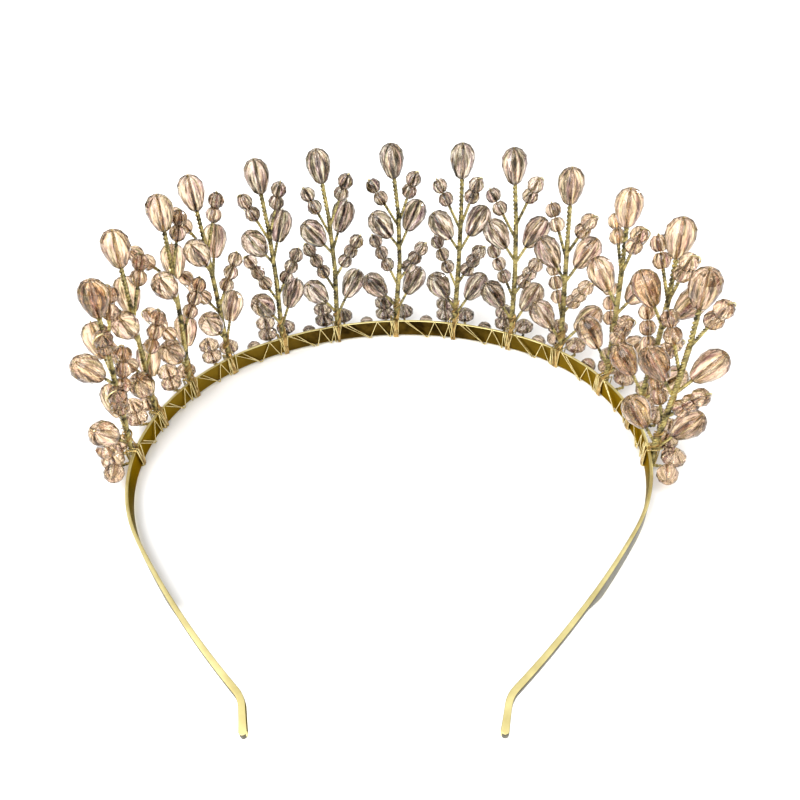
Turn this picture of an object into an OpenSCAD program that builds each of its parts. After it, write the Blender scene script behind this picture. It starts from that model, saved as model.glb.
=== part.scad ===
// Crystal headband: a flat gilt strip bent round the head, open at the back, with thirteen
// sprigs of twisted wire on its outer face. Each sprig carries crystal drops, small round
// beads and rondelles, and fine wire lashes it to the strip. The headband stands on that
// lashing, where it passes under the strip. X is to the right, Y to the front of the head,
// Z up, and the origin is on the surface below the middle of the brow.

/* [Band] */
// Height of the strip
band_h = 5; // [4:0.5:7]
// Thickness of the strip round the head
band_t = 0.8; // [0.7:0.1:1.2]
// Radius of the brow curve, to the middle of the strip
brow_r = 74.6; // [72:0.2:78]
// Angle of the brow curve on each side of the middle
brow_deg = 31; // [28:0.5:33]
// Radius of the curve at each temple
temple_r = 48.4; // [47:0.2:52]
// Angle of the curve at each temple
temple_deg = 93; // [90:0.5:96]
// Length of the leg behind each temple
leg_len = 45.2; // [36:0.2:52]
// Angle of the slow inward curve of each leg
leg_bend = 10.8; // [8:0.2:13]
// Thickness of the strip at the end of each leg
leg_t = 1.3; // [1.1:0.1:1.5]
// Radius of the outward kick at the end of each leg
kick_r = 6.2; // [5:0.2:9]
// Angle of the outward kick
kick_deg = 32; // [20:1:38]
// Length of the straight end behind the kick
end_len = 4.4; // [4:0.2:8]
// Thickness of the rounded end
end_t = 1.5; // [1.5:0.1:2]
// Height that is left of the strip at its ends
end_h = 1.5; // [1.5:0.25:4]
// Way along the leg to where the strip grows lower
narrow_at = 16.5; // [14:0.5:24]
// Length over which it grows lower
narrow_len = 7; // [5:0.5:15]

/* [Stones] */
// Width of a drop
drop_d = 6.5; // [5:0.1:6.8]
// Length of a drop
drop_len = 8.6; // [8:0.1:9.6]
// Width of a small round bead
bead_d = 4.2; // [3.6:0.1:4.3]
// Length of a small round bead, along its hole
bead_len = 3.5; // [3:0.1:3.6]
// Width of a rondelle
rondelle_d = 5.6; // [4.6:0.1:5.7]
// Length of a rondelle, along its hole
rondelle_len = 3.6; // [3:0.1:3.8]
// Width of the low stones between the sprigs
low_stone_d = 4.2; // [3.6:0.1:4.4]
// Width of the low stone beyond the sprig at each end
end_stone_d = 5; // [4.2:0.1:5.4]

/* [Wire] */
// Width of a sprig's twisted stem at its foot
stem_d = 1.4; // [1.1:0.05:1.5]
// Width of a twig's twisted wire
twig_d = 0.8; // [0.6:0.05:0.9]
// Width of the single wire through a stone
pin_d = 0.44; // [0.36:0.02:0.5]
// Width of the lashing wire
lash_d = 0.4; // [0.3:0.05:0.45]
// Clear space between one piece and the next
gap = 0.12; // [0.1:0.01:0.15]

/* [Hidden] */
$fn = 32;

// Sprigs, from the left temple to the right: place along the strip from its middle, height
// of the top drop's middle, how far the top stands to the right and to the outside of the
// foot, how far the stem bows to the right, turn of the fan of twigs from the strip's run,
// and how much higher the left and the right twigs leave the stem than in TWIGS.
SPRIGS = [
    [-89.8, 48, 1, -4.5, 0.2, 8, -1, 0],
    [-75.8, 52.5, 1.2, -4, 0, 3, -1, 1],
    [-62.2, 54.4, 2.4, -4.5, 0.7, 8, 0, 1],
    [-49, 54.5, 0.6, -1.2, 0.6, 14, 2.7, 1],
    [-32.6, 54, 1.2, -0.6, 0.9, 8, 0, 0.5],
    [-16.2, 53.9, 0.4, -0.3, 1.2, 2, -0.5, 0.5],
    [1, 53.7, 1.6, 0, 1.6, 0, 0, 0],
    [18.3, 54.1, 2, 0, 0.4, 0, -0.5, -0.5],
    [35.1, 54.5, -1.6, -0.4, 0.8, 4, -1, -1.5],
    [50.2, 53.1, -1.5, -1.5, 0, 8, -1.5, -2],
    [66.4, 53.5, -0.8, -1.6, 0.4, 4, -1.5, -3.4],
    [80.5, 53.5, 1, 0, 1, 24, 3.2, 2],
    [93.5, 51.2, 2.4, -2, 0.7, 54, -5, -3]
];
ALONG = 0;
TOP = 1;
TOP_RIGHT = 2;
TOP_OUT = 3;
BOW = 4;
TURN = 5;
LEFT_LIFT = 6;
RIGHT_LIFT = 7;

// Twigs of a sprig, from the top down: where it leaves the stem as a share of the height
// from the strip's upper edge to the top drop, lean to the right, lean to the outside, way
// along the twig to its first stone's middle, and the number of small beads, none for a drop.
TWIGS = [
    [0.64, 20, -11, 10.6, 2],
    [0.62, -29, 12, 8.9, 2],
    [0.485, 26, 11, 9.9, 0],
    [0.485, -28, -13, 9.6, 0],
    [0.265, 28, -13, 6.8, 3],
    [0.235, -25, 13, 6.8, 3],
    [0.045, 32, 11, 11, 0],
    [0.085, -29, -14, 10.6, 0]
];
LEAVES = 0;
LEAN = 1;
LEAN_OUT = 2;
REACH = 3;
BEADS = 4;

// Twigs bent further by hand: sprig counted from the left, twig counted from the top, added
// lean to the right, added lean to the outside, and how much higher it leaves the stem
BENT = [
    [1, 1, 2, 0, 0],
    [1, 2, 0, -24, 0],
    [1, 4, 0, 26, 0],
    [1, 6, 0, -26, 0],
    [1, 8, -6, 26, -1.5],
    [2, 1, 0, 0, -3],
    [2, 8, 4, 0, -1],
    [3, 5, -1, 0, 1],
    [3, 6, 6, 0, -2],
    [4, 2, 7, 0, 0],
    [4, 5, 0, 0, 2.5],
    [4, 6, 5, 0, 1],
    [4, 7, 7, 0, 1],
    [5, 1, -6, 0, 0],
    [5, 2, 9, 0, 0],
    [5, 6, 6, 0, 0],
    [6, 2, 8, 0, -1],
    [6, 5, 0, 0, 2.5],
    [8, 8, 6, 0, 0],
    [9, 1, 0, 0, 3.5],
    [9, 2, -9, 0, 0],
    [9, 6, -5, 0, 0],
    [9, 7, -9, 0, 0],
    [10, 1, 6, -6, 1],
    [10, 4, 2, 0, 0],
    [10, 6, -3, 6, -1.5],
    [10, 8, 3, -5, -1],
    [11, 1, 3, 0, 4],
    [11, 2, -8, 6, 3],
    [11, 5, -5, 0, -2],
    [11, 6, -8, 4, 0],
    [11, 7, -6, 0, 0],
    [12, 2, -5, 0, 0],
    [13, 1, 0, 0, 5],
    [13, 3, 5, 0, -1],
    [13, 5, 3, 0, 0],
    [13, 7, -4, 0, -1]
];
BENT_SPRIG = 0;
BENT_TWIG = 1;
BENT_LEAN = 2;
BENT_OUT = 3;
BENT_UP = 4;

// Rondelles at a sprig's foot: place along the strip, place outward, and number stacked
RONDELLES = [[-3.5, 3.55, 2], [2.3, 4.1, 1]];

// Turns of lashing wire at a sprig's foot: place along the strip on its inner face and upper
// edge, and place on its lower edge, after the turn has crossed the stem
LASH_TURNS = [[-1.05, -0.35], [1.05, 0.35]];

// Profile of a drop from its narrow end: share of its length and share of its half width
DROP_PROFILE = [[0, 0.4], [0.14, 0.66], [0.38, 0.92], [0.62, 1], [0.84, 0.87], [1, 0.46]];
drop_sides = 8;
// Profile of a rondelle: share of its length and share of its half width
RONDELLE_PROFILE = [[0, 0.56], [0.26, 1], [0.74, 1], [1, 0.56]];
rondelle_sides = 10;

lash_r = lash_d / 2;
lash_joint = 0.04;
lash_low = lash_r + lash_joint;
band_bottom = lash_low + lash_r + gap;
band_top = band_bottom + band_h;
lash_high = band_top + gap + lash_r;
lash_in = band_t / 2 + gap + lash_low;
flat_deg = 2;
stem_r = stem_d / 2;
twig_r = twig_d / 2;
pin_r = pin_d / 2;
bore_r = pin_r + 0.14;
knot_r = pin_r + 0.16;
stem_off = band_t / 2 + gap + stem_r;
stem_joint = 0.05;
stem_taper = 0.12;
foot_rise = 0.8;
STEM_BENDS = [0.37, 0.69];
bead_step = bead_len + gap + 0.1;
rondelle_step = rondelle_len + gap + 0.08;
rondelle_low = band_bottom + 4.6;
hook_step = 0.9;
wraps_clear = 1.75;
low_stone_z = band_top - 2.4;
end_stone_z = band_bottom + end_stone_d;
end_stone_reach = 7.8;
low_stone_bay = 14.9;
low_stone_cut = 0.86;
over = 1;
unevenness = 1.8;

brow_len = brow_r * brow_deg * PI / 180;
temple_len = temple_r * temple_deg * PI / 180;
leg_deg = brow_deg + temple_deg;
temple_c = [(brow_r - temple_r) * sin(brow_deg), (brow_r - temple_r) * cos(brow_deg) - brow_r];
leg_start = temple_c + temple_r * out_of(leg_deg);
leg_r = leg_len / (leg_bend * PI / 180);
leg_c = leg_start - leg_r * out_of(leg_deg);
back_deg = leg_deg + leg_bend;
kick_c = leg_at(leg_len) + kick_r * out_of(back_deg);
end_deg = back_deg - kick_deg;
end_start = kick_c - kick_r * out_of(end_deg);
tip = end_start + end_len * along_at(end_deg);

// Middle line of the strip on plan, each place with its heading and the strip's thickness
// there, first for the right half
RIGHT_LINE = concat(
    [[[0, 0], 0, band_t]],
    arc([0, -brow_r], brow_r, [0, brow_deg], [band_t, band_t]),
    arc(temple_c, temple_r, [brow_deg, leg_deg], [band_t, band_t]),
    arc(leg_c, leg_r, [leg_deg, back_deg], [band_t, leg_t]),
    arc(kick_c, -kick_r, [back_deg, end_deg], [leg_t, leg_t]),
    [[tip, end_deg, leg_t]]
);
LINE = concat(
    [for (k = [len(RIGHT_LINE) - 1:-1:1]) let (p = RIGHT_LINE[k]) [mirrored(p[0]), -p[1], p[2]]],
    RIGHT_LINE
);

COUNT = len(SPRIGS);

function named(what, i) = str(what, "_", i < 10 ? "0" : "", i);

// Directions on plan, at a heading in degrees to the right of +X as seen from above
function along_at(deg) = [cos(deg), -sin(deg)];
function out_of(deg) = [sin(deg), cos(deg)];

// Heading of the strip at a length from its middle, and its middle line there
function heading(s) = sign(s) * heading_right(abs(s));
function heading_right(s) = s < brow_len
    ? s / brow_len * brow_deg
    : brow_deg + min(1, (s - brow_len) / temple_len) * temple_deg;
function band_at(s) = s < 0 ? mirrored(band_at(-s)) : s < brow_len
    ? [0, -brow_r] + brow_r * out_of(heading(s))
    : temple_c + temple_r * out_of(heading(s));
function mirrored(p) = [-p.x, p.y];

// Middle line along an arc after its start, cut into flats: each place with its heading and
// thickness, which go from the first to the last of those given
function arc(centre, r, degs, thick) = let (flats = round(abs(degs[1] - degs[0]) / flat_deg))
    [for (k = [1:flats]) let (deg = between(degs, k / flats))
        [centre + r * out_of(deg), deg, between(thick, k / flats)]];
function between(pair, share) = pair[0] + share * (pair[1] - pair[0]);
function leg_at(way) = leg_c + leg_r * out_of(leg_deg + way / leg_len * leg_bend);

// Small repeatable differences between one hand-bent twig and the next
function sway(i, k) = unevenness * sin(97 * i + 61 * k);

// What BENT adds to twig k of sprig i: its lean, its lean to the outside, or its height
function bent(i, k, what) = let (
    rows = [for (b = BENT) if (b[BENT_SPRIG] == i + 1 && b[BENT_TWIG] == k + 1) b[what]]
) len(rows) == 0 ? 0 : rows[0];

// Stem of sprig i: heights of its bends, and its middle line at a height
function bends(i) = let (foot = band_top + foot_rise, rise = SPRIGS[i][TOP] - foot)
    [0, foot, foot + STEM_BENDS[0] * rise, foot + STEM_BENDS[1] * rise, SPRIGS[i][TOP]];
function stem_top(i) = SPRIGS[i][TOP] - drop_len / 2 - gap;
function share_of_rise(i, z) = max(0, (z - bends(i)[1]) / (SPRIGS[i][TOP] - bends(i)[1]));
function bend_point(i, z) = let (u = share_of_rise(i, z))
    [SPRIGS[i][TOP_RIGHT] * u + 4 * SPRIGS[i][BOW] * u * (1 - u), SPRIGS[i][TOP_OUT] * u, z];
function stem_at(i, z) = [
    lookup(z, [for (b = bends(i)) [b, bend_point(i, b).x]]),
    lookup(z, [for (b = bends(i)) [b, bend_point(i, b).y]]),
    z
];
function lift(i, k) = SPRIGS[i][TWIGS[k][LEAN] > 0 ? RIGHT_LIFT : LEFT_LIFT];
function leaves_at(i, k) =
    band_top + TWIGS[k][LEAVES] * (SPRIGS[i][TOP] - band_top)
    + lift(i, k) / (k < 4 ? 1 : 2) + bent(i, k, BENT_UP);
function first_stone(k) = TWIGS[k][REACH] - (TWIGS[k][BEADS] == 0 ? drop_len : bead_len) / 2 - gap;
function twig_end(k) = knot_r + (TWIGS[k][BEADS] == 0
    ? TWIGS[k][REACH] + drop_len / 2
    : TWIGS[k][REACH] + (TWIGS[k][BEADS] - 0.5) * bead_step - gap);

// Puts its children at the foot of sprig i, X along the strip, Y outward
module at_foot(i) {
    p = band_at(SPRIGS[i][ALONG]);
    translate([p.x, p.y, 0]) rotate(-heading(SPRIGS[i][ALONG])) translate([0, stem_off, 0]) children();
}

// Puts its children at the foot of sprig i, X along its fan of twigs
module in_sprig(i) {
    at_foot(i) rotate(SPRIGS[i][TURN]) children();
}

// Puts its children where twig k leaves the stem, Z along the twig
module on_twig(i, k) {
    translate(stem_at(i, leaves_at(i, k)))
        rotate([
            -TWIGS[k][LEAN_OUT] - sway(i, k + 4) - bent(i, k, BENT_OUT),
            TWIGS[k][LEAN] + sway(i, k) + bent(i, k, BENT_LEAN),
            0
        ])
        children();
}

// Puts its children at the foot of the top drop, Z along it
module on_top(i) {
    tip = stem_at(i, SPRIGS[i][TOP]);
    below = stem_at(i, bends(i)[3]);
    run = tip - below;
    translate(tip) rotate([0, acos(run.z / norm(run)), atan2(run.y, run.x)]) children();
}

// Round wire from one point to another
module wire(from, to, r) {
    run = to - from;
    translate(from) rotate([0, acos(run.z / norm(run)), atan2(run.y, run.x)])
        cylinder(r = r, h = norm(run));
}

// Cut stone turned about Z: rings of facets from a profile, drilled through
module cut_stone(profile, sides, length, half, bore, stagger) {
    outer = [for (j = [0:len(profile) - 1]) [profile[j][0] * length, profile[j][1] * half, j]];
    top = len(profile) - 1;
    rings = concat(outer, [[length, bore, top], [0, bore, 0]]);
    points = [for (g = rings, a = [0:sides - 1])
        let (deg = 360 / sides * (a + (stagger ? (g[2] % 2) / 2 : 0)))
        [g[1] * cos(deg), g[1] * sin(deg), g[0]]];
    count = len(rings);
    faces = [for (j = [0:count - 1], a = [0:sides - 1], half_face = [0, 1])
        let (
            next = (j + 1) % count,
            b = (a + 1) % sides,
            odd = stagger && rings[j][2] % 2 == 1 && rings[next][2] % 2 == 0,
            low_a = j * sides + a,
            low_b = j * sides + b,
            high_a = next * sides + a,
            high_b = next * sides + b
        )
        odd
            ? (half_face == 0 ? [low_a, high_b, low_b] : [low_a, high_a, high_b])
            : (half_face == 0 ? [low_a, high_a, low_b] : [low_b, high_a, high_b])];
    polyhedron(points, faces, convexity = 4);
}

// Drop with its narrow end down and its middle at the origin
module drop() {
    translate([0, 0, -drop_len / 2])
        cut_stone(DROP_PROFILE, drop_sides, drop_len, drop_d / 2, bore_r, true);
}

module rondelle() {
    translate([0, 0, -rondelle_len / 2])
        cut_stone(RONDELLE_PROFILE, rondelle_sides, rondelle_len, rondelle_d / 2, bore_r, false);
}

// Round bead with a flat at each end of its hole, its middle at the origin
module round_bead(d, length, bore) {
    difference() {
        intersection() {
            sphere(d = d);
            cube([d + over, d + over, length], center = true);
        }
        cylinder(r = bore, h = length + over, center = true);
    }
}

// Outline of the strip on plan: its outer side, then its inner side back
STRIP = concat(
    [for (p = LINE) p[0] + p[2] / 2 * out_of(p[1])],
    [for (k = [len(LINE) - 1:-1:0]) LINE[k][0] - LINE[k][2] / 2 * out_of(LINE[k][1])]
);

// What is cut away under the legs, seen from the side: the strip grows lower, then runs level
module taper() {
    side = 4 * temple_r;
    from = leg_at(narrow_at).y;
    to = leg_at(narrow_at + narrow_len).y;
    back = tip.y - end_t;
    level = band_top - end_h;
    translate([-side / 2, 0, 0]) rotate([90, 0, 90]) linear_extrude(side)
        polygon([[from, band_bottom], [to, level], [back, level], [back, 0], [from, 0]]);
}

module headband() {
    color("gold") difference() {
        translate([0, 0, band_bottom]) {
            linear_extrude(band_h) polygon(STRIP);
            for (end = [tip, mirrored(tip)]) translate(end) cylinder(d = end_t, h = band_h);
        }
        taper();
    }
}

// Lashing wire along a row of points, from each to the next, with a joint at each bend
module lash(points) {
    for (k = [0:len(points) - 2]) wire(points[k], points[k + 1], lash_r);
    for (k = [1:len(points) - 2]) translate(points[k]) lash_bend();
}

module lash_bend() {
    sphere(r = lash_r + lash_joint);
}

// One turn of lashing wire round the strip, across the foot of the stem
module lash_turn(turn) {
    start = [turn[0], -stem_off - lash_in, lash_high];
    outer = stem_r + gap + lash_r;
    lash([
        start,
        [turn[0], outer, start.z],
        [turn[1], outer, lash_low],
        [start.x, start.y, lash_low],
        start
    ]);
    translate(start) lash_bend();
}

// Slanting zigzag of wire on the inner face, from one sprig's turns to the next one's
module zigzag(i) {
    from = SPRIGS[i][ALONG] + LASH_TURNS[1][0];
    to = SPRIGS[i + 1][ALONG] + LASH_TURNS[0][0];
    stops = [[0, lash_high], [0.6, lash_low], [0.76, lash_high], [1, lash_low]];
    lash([for (p = stops) inner_face(from + p[0] * (to - from), p[1])]);
}

// Middle of a wire on the inner face at a length along the strip and a height
function inner_face(s, z) = let (
    p = band_at(s),
    out = out_of(heading(s))
) [p.x - lash_in * out.x, p.y - lash_in * out.y, z];

module lashing_wire() {
    color("khaki") union() {
        for (i = [0:COUNT - 1], turn = LASH_TURNS) at_foot(i) lash_turn(turn);
        for (i = [0:COUNT - 2]) zigzag(i);
    }
}

// Low stones, each with its place along the strip, its height and its width: they lie between
// the sprigs where these stand well apart, and a larger one lies beyond the sprig at each end
LOW_STONES = concat(
    [for (i = [0:COUNT - 2]) let (from = SPRIGS[i][ALONG], to = SPRIGS[i + 1][ALONG])
        if (to - from > low_stone_bay) [(from + to) / 2, low_stone_z, low_stone_d]],
    [for (end = [0, COUNT - 1])
        [SPRIGS[end][ALONG] + sign(SPRIGS[end][ALONG]) * end_stone_reach, end_stone_z, end_stone_d]]
);

module low_stones() {
    color("mistyrose") for (stone = LOW_STONES) {
        d = stone[2];
        p = band_at(stone[0]);
        translate([p.x, p.y, stone[1]]) rotate(-heading(stone[0]))
            translate([0, band_t / 2 + d / 2 + lash_d + gap, 0]) rotate([0, 90, 0])
            round_bead(d, d * low_stone_cut, bore_r);
    }
}

module base_rondelles(side) {
    color("peachpuff") for (i = [0:COUNT - 1], level = [0:RONDELLES[side][2] - 1])
        at_foot(i)
            translate([RONDELLES[side][0], RONDELLES[side][1], rondelle_low + level * rondelle_step])
            rondelle();
}

// Wire that leaves the stem's foot between the strip and the wraps, turns outward and then
// up, and carries the rondelles
module rondelle_pin(side) {
    rondelles = RONDELLES[side];
    low = rondelle_low - rondelle_len / 2;
    z = low - 2 * twig_r - side * hook_step;
    top = rondelle_low + (rondelles[2] - 0.5) * rondelle_step + knot_r;
    clear = [sign(rondelles.x) * wraps_clear, 0, z];
    bend = [rondelles.x, rondelles.y, z];
    wire([0, 0, z], clear, twig_r);
    wire(clear, bend, twig_r);
    for (p = [clear, bend]) translate(p) sphere(r = twig_r + stem_joint);
    wire(bend, [bend.x, bend.y, low - gap], twig_r);
    wire(bend, [bend.x, bend.y, top], pin_r);
    translate([bend.x, bend.y, top]) sphere(r = knot_r);
}

module stem(i) {
    color("darkkhaki") union() {
        in_sprig(i) {
            heights = bends(i);
            for (j = [1:3]) {
                r = stem_r - stem_taper * (j - 1);
                wire(stem_at(i, heights[j]), stem_at(i, min(heights[j + 1], stem_top(i))), r);
                translate(stem_at(i, heights[j])) sphere(r = r + stem_joint);
            }
            for (k = [0:len(TWIGS) - 1]) on_twig(i, k) {
                cylinder(r = twig_r, h = first_stone(k));
                cylinder(r = pin_r, h = twig_end(k));
                translate([0, 0, twig_end(k)]) sphere(r = knot_r);
            }
            on_top(i) {
                translate([0, 0, -drop_len / 2 - gap - over])
                    cylinder(r = pin_r, h = drop_len + over + gap + knot_r);
                translate([0, 0, drop_len / 2 + knot_r]) sphere(r = knot_r);
            }
        }
        at_foot(i) {
            translate([0, 0, band_bottom + gap]) cylinder(r = stem_r, h = bends(i)[1] - band_bottom - gap);
            for (side = [0, 1]) rondelle_pin(side);
        }
    }
}

module top_drop(i) {
    color("linen") in_sprig(i) on_top(i) drop();
}

module side_drops(i) {
    color("linen") in_sprig(i)
        for (k = [0:len(TWIGS) - 1]) if (TWIGS[k][BEADS] == 0)
            on_twig(i, k) translate([0, 0, TWIGS[k][REACH]]) drop();
}

module small_beads(i) {
    color("antiquewhite") in_sprig(i)
        for (k = [0:len(TWIGS) - 1]) if (TWIGS[k][BEADS] > 0)
            for (b = [0:TWIGS[k][BEADS] - 1])
                on_twig(i, k) translate([0, 0, TWIGS[k][REACH] + b * bead_step])
                    round_bead(bead_d, bead_len, bore_r);
}

headband();
lashing_wire();
low_stones();
base_rondelles(0);  // base_rondelles_left
base_rondelles(1);  // base_rondelles_right
for (i = [0:COUNT - 1]) {
    stem(i);
    top_drop(i);
    side_drops(i);
    small_beads(i);
}
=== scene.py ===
"""Crystal headband: the looks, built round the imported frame.

Lengths are millimetres, as in the part's source, until a piece is finished in metres.
"""

from math import atan2, copysign, cos, pi, radians, sin
from random import Random

import bmesh
import bpy
from mathutils import Euler, Matrix, Vector


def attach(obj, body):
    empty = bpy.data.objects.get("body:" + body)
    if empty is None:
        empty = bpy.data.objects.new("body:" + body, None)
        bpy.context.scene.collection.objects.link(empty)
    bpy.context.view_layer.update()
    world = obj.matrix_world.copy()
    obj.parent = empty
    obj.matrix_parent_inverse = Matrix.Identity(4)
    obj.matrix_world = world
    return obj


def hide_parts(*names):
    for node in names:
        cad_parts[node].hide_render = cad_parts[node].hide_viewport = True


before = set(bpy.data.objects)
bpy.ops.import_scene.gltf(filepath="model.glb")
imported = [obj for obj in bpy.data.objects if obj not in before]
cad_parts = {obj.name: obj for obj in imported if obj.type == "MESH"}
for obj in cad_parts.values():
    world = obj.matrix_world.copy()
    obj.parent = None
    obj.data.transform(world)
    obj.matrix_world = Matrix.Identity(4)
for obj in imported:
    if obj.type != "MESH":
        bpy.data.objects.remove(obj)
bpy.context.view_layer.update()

# The table top and the light. The headband lies on a plain white table under large soft
# lights, seen from above the open back, where the wearer's neck would be.
EYE = Vector((11.7, -176.6, 127.6))
LOOK_DOWN, LOOK_LEFT, HELD_ASKEW = 40.91, 3.54, -3.74
LENS, SENSOR, NEAREST = 32.4, 36, 10
TABLE_R, TABLE_SIDES = 3000, 64

eye = bpy.data.cameras.new("eye")
eye.lens, eye.sensor_width, eye.clip_start = LENS, SENSOR, NEAREST / 1000
eye_stand = bpy.data.objects.new("eye", eye)
bpy.context.scene.collection.objects.link(eye_stand)
eye_stand.location, eye_stand.rotation_mode = EYE / 1000, "QUATERNION"
eye_stand.rotation_quaternion = (
    Euler((0, 0, radians(LOOK_LEFT))).to_quaternion()
    @ Euler((radians(90 - LOOK_DOWN), 0, 0)).to_quaternion()
    @ Euler((0, 0, radians(HELD_ASKEW))).to_quaternion()
)
bpy.context.scene.camera = eye_stand
bpy.context.scene.view_settings.view_transform = "Standard"


def shader(name, **sockets):
    """A new material, its node tree and its Principled shader"""
    material = bpy.data.materials.new(name)
    material.use_nodes = True
    surface = material.node_tree.nodes["Principled BSDF"]
    for socket, value in sockets.items():
        surface.inputs[socket.replace("_", " ")].default_value = value
    return material, material.node_tree, surface


table_white, _, _ = shader("table_white", Base_Color=(0.93, 0.93, 0.93, 1), Roughness=0.8)
bm = bmesh.new()
bmesh.ops.create_circle(bm, cap_ends=True, segments=TABLE_SIDES, radius=TABLE_R / 1000)
table_mesh = bpy.data.meshes.new("table")
bm.to_mesh(table_mesh)
bm.free()
table_mesh.materials.append(table_white)
table = bpy.data.objects.new("table", table_mesh)
bpy.context.scene.collection.objects.link(table)


def graded(tree, share, *stops):
    """A colour socket that changes with a share, each stop a share and its colour"""
    node = tree.nodes.new("ShaderNodeValToRGB")
    first, last = node.color_ramp.elements
    (first.position, low), *between, (last.position, high) = stops
    first.color, last.color = (*low, 1), (*high, 1)
    for position, colour in between:
        node.color_ramp.elements.new(position).color = (*colour, 1)
    tree.links.new(share, node.inputs["Fac"])
    return node.outputs["Color"]


# The room is brown below the table's edge, so that the glass has something dark to show
ROOM_TONES = [(0.1, (0.24, 0.21, 0.17)), (0.5, (1, 0.99, 0.97))]
room = bpy.data.worlds.new("room")
room.use_nodes = True
walls = room.node_tree
outlook = walls.nodes.new("ShaderNodeTexCoord")
upward = walls.nodes.new("ShaderNodeSeparateXYZ")
walls.links.new(outlook.outputs["Generated"], upward.inputs["Vector"])
room_tone = graded(walls, upward.outputs["Z"], *ROOM_TONES)
walls.links.new(room_tone, walls.nodes["Background"].inputs["Color"])
bpy.context.scene.world = room


def soft_box(name, place, aim, size, watts):
    """A square lamp with a soft light, its place, aim and size in metres"""
    light = bpy.data.lights.new(name, "AREA")
    light.energy, light.size = watts, size
    stand = bpy.data.objects.new(name, light)
    bpy.context.scene.collection.objects.link(stand)
    stand.location = place
    stand.rotation_euler = (Vector(aim) - Vector(place)).to_track_quat("-Z", "Y").to_euler()


soft_box("window", place=(-0.3, -0.5, 0.9), aim=(0, -0.05, 0), size=0.9, watts=16)
soft_box("lamp", place=(0.6, 0.5, 0.4), aim=(0, -0.02, 0.02), size=0.12, watts=1.4)

# The gilt strip. A flat strip of plated metal is bent round the head in five runs: brow,
# temple, slowly curved leg, small outward kick and straight end. The legs grow thicker and
# lower, and the ends are rounded. The edges are satin pale gold. The inner and outer faces
# are painted shade: darker, browner copies of the same gold.
BAND_H, BAND_T = 5, 0.8
BROW_R, BROW_DEG = 74.6, 31
TEMPLE_R, TEMPLE_DEG = 48.4, 93
LEG, LEG_BEND, LEG_T = 45.2, 10.8, 1.3
KICK_R, KICK_DEG = 6.2, 32
END, END_T, END_H = 4.4, 1.5, 1.5
GAP, LASH_D, LASH_JOINT = 0.12, 0.4, 0.04
BAND_LOW = LASH_D + LASH_JOINT + GAP
BAND_HIGH = BAND_LOW + BAND_H
EDGE_ROUND, EDGE_STEPS, CRISP = 0.22, 3, 0.6
NARROW_AT, NARROW_LEN = 16.5, 7
BROW_STEPS, TEMPLE_STEPS, LEG_STEPS, KICK_STEPS, END_STEPS = 40, 72, 36, 12, 6
ROUND_END = (0.2, 0.4, 0.6, 0.78, 0.92, 0.99)
SAME_POINT = 0.001
HEAD_MIDDLE = Vector((0, -55, 0))
FLANK, FLANK_SLOPE = 0.35, 0.5


def out_of(deg):
    """Away from the middle of a bend, at a heading in degrees to the right"""
    return Vector((sin(radians(deg)), cos(radians(deg)), 0))


def along_at(deg):
    """Along the strip, at a heading in degrees to the right"""
    return Vector((cos(radians(deg)), -sin(radians(deg)), 0))


BROW_C = Vector((0, -BROW_R, 0))
TEMPLE_C = BROW_C + (BROW_R - TEMPLE_R) * out_of(BROW_DEG)
LEG_DEG = BROW_DEG + TEMPLE_DEG
BACK_DEG = LEG_DEG + LEG_BEND
LEG_R = LEG / radians(LEG_BEND)
LEG_C = TEMPLE_C + (TEMPLE_R - LEG_R) * out_of(LEG_DEG)
KICK_C = LEG_C + (LEG_R + KICK_R) * out_of(BACK_DEG)
END_DEG = BACK_DEG - KICK_DEG
TIP = KICK_C - KICK_R * out_of(END_DEG) + END * along_at(END_DEG)
BROW_LEN = BROW_R * radians(BROW_DEG)
TEMPLE_LEN = TEMPLE_R * radians(TEMPLE_DEG)


def heading(s):
    """Heading of the strip at a length from its middle, in degrees to the right"""
    a = abs(s)
    if a < BROW_LEN:
        return copysign(a / BROW_LEN * BROW_DEG, s)
    return copysign(min(BROW_DEG + (a - BROW_LEN) / TEMPLE_LEN * TEMPLE_DEG, LEG_DEG), s)


def band_at(s):
    """Middle line of the strip on plan"""
    deg = heading(abs(s))
    p = BROW_C + BROW_R * out_of(deg) if abs(s) < BROW_LEN else TEMPLE_C + TEMPLE_R * out_of(deg)
    return Vector((copysign(p.x, s), p.y, 0))


def finish_mesh(bm, name, *materials, smooth=False):
    """Turns a bmesh in millimetres into a piece in metres that rides on the one body"""
    bmesh.ops.scale(bm, vec=(0.001,) * 3, verts=bm.verts)
    mesh = bpy.data.meshes.new(name)
    bm.to_mesh(mesh)
    bm.free()
    for material in materials:
        mesh.materials.append(material)
    mesh.polygons.foreach_set("use_smooth", [smooth] * len(mesh.polygons))
    piece = bpy.data.objects.new(name, mesh)
    bpy.context.scene.collection.objects.link(piece)
    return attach(piece, "root")


def grown(tree, value, low, high):
    """Grows from 0 to 1 as a value goes from low to high"""
    share = tree.nodes.new("ShaderNodeMapRange")
    share.inputs["From Min"].default_value, share.inputs["From Max"].default_value = low, high
    tree.links.new(value, share.inputs["Value"])
    return share.outputs["Result"]


def further(tree, axis, near, far):
    """Grows from 0 to 1 as a point gets further from the middle along X or Y, in metres"""
    new, link = tree.nodes.new, tree.links.new
    place = new("ShaderNodeTexCoord")
    part = new("ShaderNodeSeparateXYZ")
    distance = new("ShaderNodeMath")
    distance.operation = "ABSOLUTE"
    link(place.outputs["Object"], part.inputs["Vector"])
    link(part.outputs[axis], distance.inputs[0])
    return grown(tree, distance.outputs["Value"], near, far)


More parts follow.
